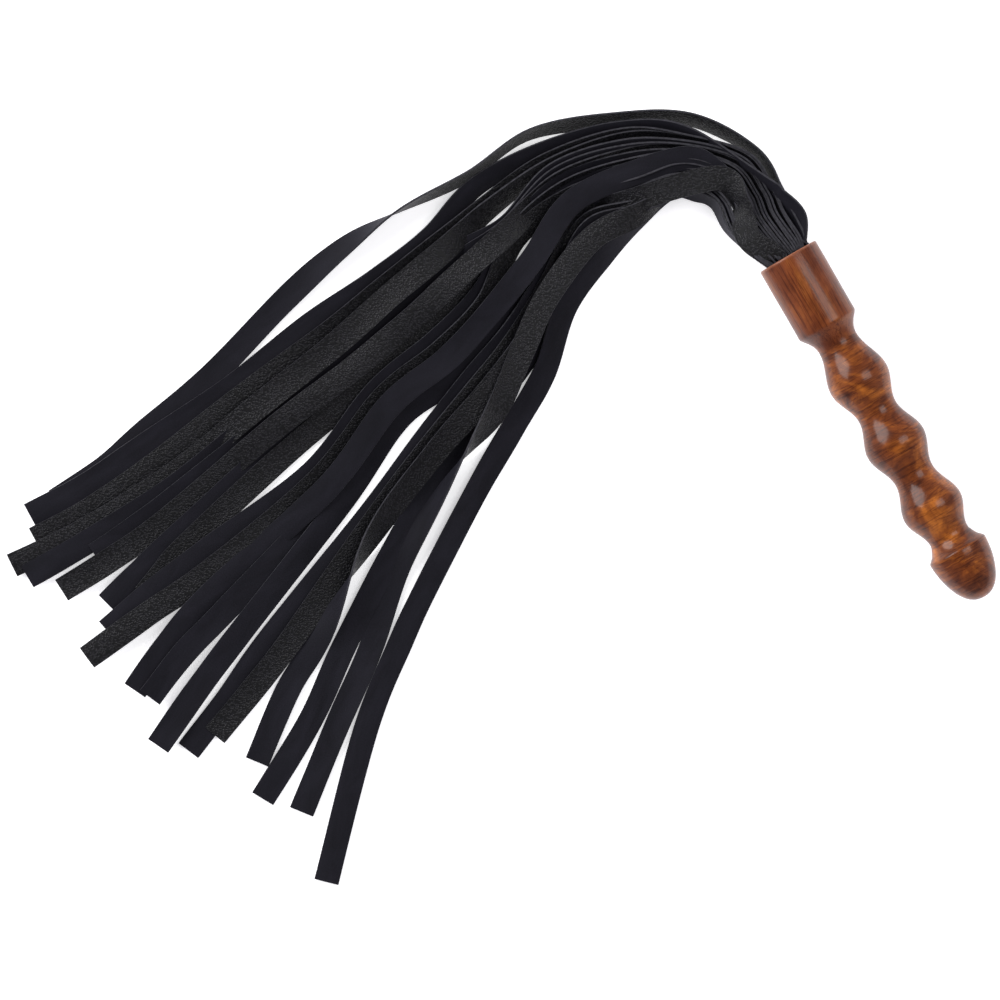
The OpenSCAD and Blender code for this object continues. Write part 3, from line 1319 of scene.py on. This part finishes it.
@dataclass
class Studio:
    """The camera, the pale floor, the soft lights and the room."""

    eye: Point3 = (-0.1916, 0.0668, 2.4)
    turn: float = -30.0
    across: float = 0.520
    sensor: float = 36.0
    aim: Point3 = (-0.12, 0.05, 0.01)
    lamps: Tuple[Lamp, ...] = (
        Lamp("window", (-1.05, 1.60, 1.25), (1.70, 1.30), 46.0),
        Lamp("top", (0.80, 0.02, 1.55), (0.80, 1.00), 11.0))
    floor_size: float = 12.0
    floor_dull: Colour = rgba(0.93, 0.93, 0.93)
    floor_bright: Colour = rgba(0.95, 0.95, 0.95)
    floor_glow: float = 0.45
    horizon: Colour = rgba(1.0, 0.98, 1.08)
    zenith: Colour = rgba(0.24, 0.235, 0.25)
    room_light: float = 1.55
    room_reflected: float = 0.50

    def camera(self) -> None:
        """Adds the camera, which looks straight down."""
        lens = bpy.data.cameras.new("camera")
        lens.sensor_width = self.sensor
        lens.lens = self.sensor * self.eye[2] / self.across
        lens.clip_start = 0.1
        lens.clip_end = 20.0
        made = bpy.data.objects.new("camera", lens)
        made.location = self.eye
        made.rotation_euler = (0.0, 0.0, math.radians(self.turn))
        bpy.context.scene.collection.objects.link(made)
        bpy.context.scene.camera = made

    def floor(self) -> None:
        """Adds the floor that the object lies on."""
        bare_scene()
        bpy.ops.mesh.primitive_plane_add(
            size=self.floor_size, location=(0, 0, 0))
        plane = bpy.context.object
        plane.name = "floor"
        s = Shade("floor_white")
        cloud = s.noise(s.place("Object", (2.0, 2.0, 2.0)), 1.0, 2.0)
        colour = s.ramp(cloud, (0.2, self.floor_dull),
                        (0.8, self.floor_bright))
        plane.data.materials.append(s.material)
        s.link(colour, s.shader.inputs["Base Color"])
        s.link(colour, s.shader.inputs["Emission Color"])
        s.set(Roughness=1.0, Specular_IOR_Level=0.0,
              Emission_Strength=self.floor_glow)

    def room(self) -> None:
        """Adds a soft room, bright low down and dim in reflections."""
        world = bpy.data.worlds.new("soft_room")
        bpy.context.scene.world = world
        world.use_nodes = True
        tree = world.node_tree
        where = tree.nodes.new("ShaderNodeTexCoord")
        parts = tree.nodes.new("ShaderNodeSeparateXYZ")
        ramp = tree.nodes.new("ShaderNodeValToRGB")
        low, high = ramp.color_ramp.elements
        low.position, low.color = 0.05, self.horizon
        high.position, high.color = 0.85, self.zenith
        tree.links.new(where.outputs["Generated"], parts.inputs["Vector"])
        tree.links.new(parts.outputs["Z"], ramp.inputs["Fac"])
        sky = tree.nodes["Background"]
        tree.links.new(ramp.outputs["Color"], sky.inputs["Color"])
        path = tree.nodes.new("ShaderNodeLightPath")
        level = tree.nodes.new("ShaderNodeMapRange")
        level.inputs["To Min"].default_value = self.room_light
        level.inputs["To Max"].default_value = self.room_reflected
        tree.links.new(path.outputs["Is Glossy Ray"], level.inputs["Value"])
        tree.links.new(level.outputs["Result"], sky.inputs["Strength"])

    def build(self) -> None:
        """Sets up the room, the lamps and the floor."""
        bpy.context.scene.view_settings.view_transform = "Standard"
        self.room()
        for lamp in self.lamps:
            lamp.light(self.aim)
        self.floor()


def main() -> None:
    """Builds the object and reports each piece."""
    studio = Studio()
    studio.camera()
    leather = Leather(GrainLeather().material(), SuedeLeather().material(),
                      CutEdge().material())
    tails = Tails()
    for i in range(tails.count):
        tails.build(i, leather)
    handle = Handle()
    for piece in (handle.socket(), handle.grip(), RootRoll().build(leather)):
        LOG.info("%s: %d faces", piece.name, len(piece.data.polygons))
    studio.build()


if __name__ == "__main__":
    main()
